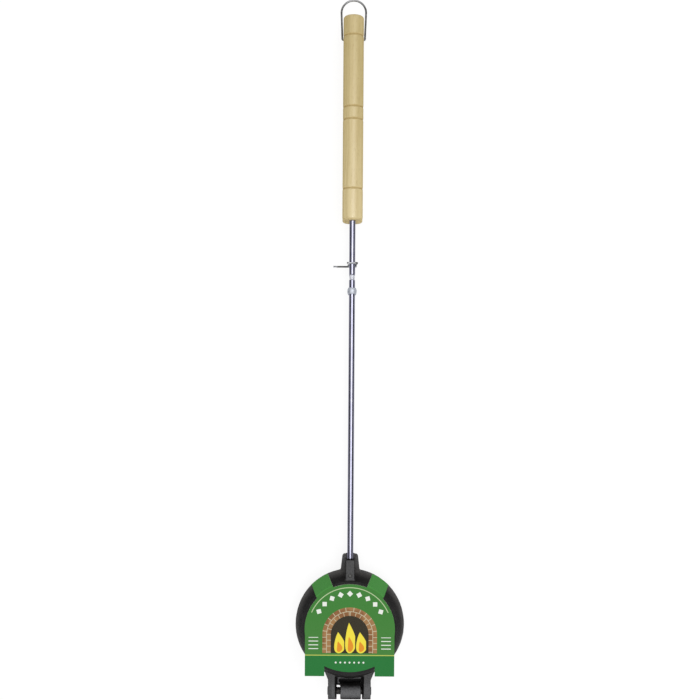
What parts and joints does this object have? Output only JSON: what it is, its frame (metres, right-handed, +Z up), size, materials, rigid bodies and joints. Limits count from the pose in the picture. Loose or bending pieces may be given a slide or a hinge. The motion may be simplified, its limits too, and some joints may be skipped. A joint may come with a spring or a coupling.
{
  "type": "hearth broiler",
  "caption": "Long-handled broiler for cooking over a fire: ridged round iron pans hinged face to face, on screwed steel rods with turned wooden handles, a wire clasp and a wire bail.",
  "frame": {"origin": "middle of the lower pan's flat underside", "axes": "+Z up through the closed pans, +Y from the hinge along the rods to the handles, +X to the right seen from above with the handles away"},
  "size_m": [0.1056, 0.685, 0.0408],
  "materials": {
    "iron": "sand-cast, seasoned",
    "plated_steel": "bright plated",
    "pin_steel": "dull, peened",
    "wood": "turned, clear coat",
    "wire": "drawn wire",
    "card": "printed card, satin"
  },
  "bodies": {
    "lower_half": {"lower_pan": "iron", "lower_socket_pin": "pin_steel", "lower_pan_rod": "plated_steel", "lower_coupling": "plated_steel", "lower_handle_rod": "plated_steel", "lower_handle": "wood"},
    "upper_half": {"upper_pan": "iron", "upper_socket_pin": "pin_steel", "upper_pan_rod": "plated_steel", "upper_coupling": "plated_steel", "upper_handle_rod": "plated_steel", "upper_handle": "wood", "hinge_pin": "pin_steel"},
    "bail": {"wire_bail": "wire"},
    "clasp": {"rod_clasp": "wire"},
    "card": {"display_card": "card"}
  },
  "joints": [
    {"name": "pan_hinge", "type": "hinge", "parent": "lower_half", "child": "upper_half", "pos_m": [0, -0.0658, 0.02], "axis": [1, 0, 0], "range_deg": [0, 180]},
    {"name": "bail_swing", "type": "hinge", "parent": "lower_half", "child": "bail", "pos_m": [0, 0.5714, 0.01], "axis": [1, 0, 0], "range_deg": [-160, 120]},
    {"name": "clasp_swing", "type": "hinge", "parent": "lower_half", "child": "clasp", "pos_m": [0, 0.349, 0.01], "axis": [0, 1, 0], "range_deg": [0, 70]},
    {"name": "card_lift", "type": "slide", "parent": "upper_half", "child": "card", "axis": [0, 0, 1], "range_m": [0, 0.08]}
  ]
}
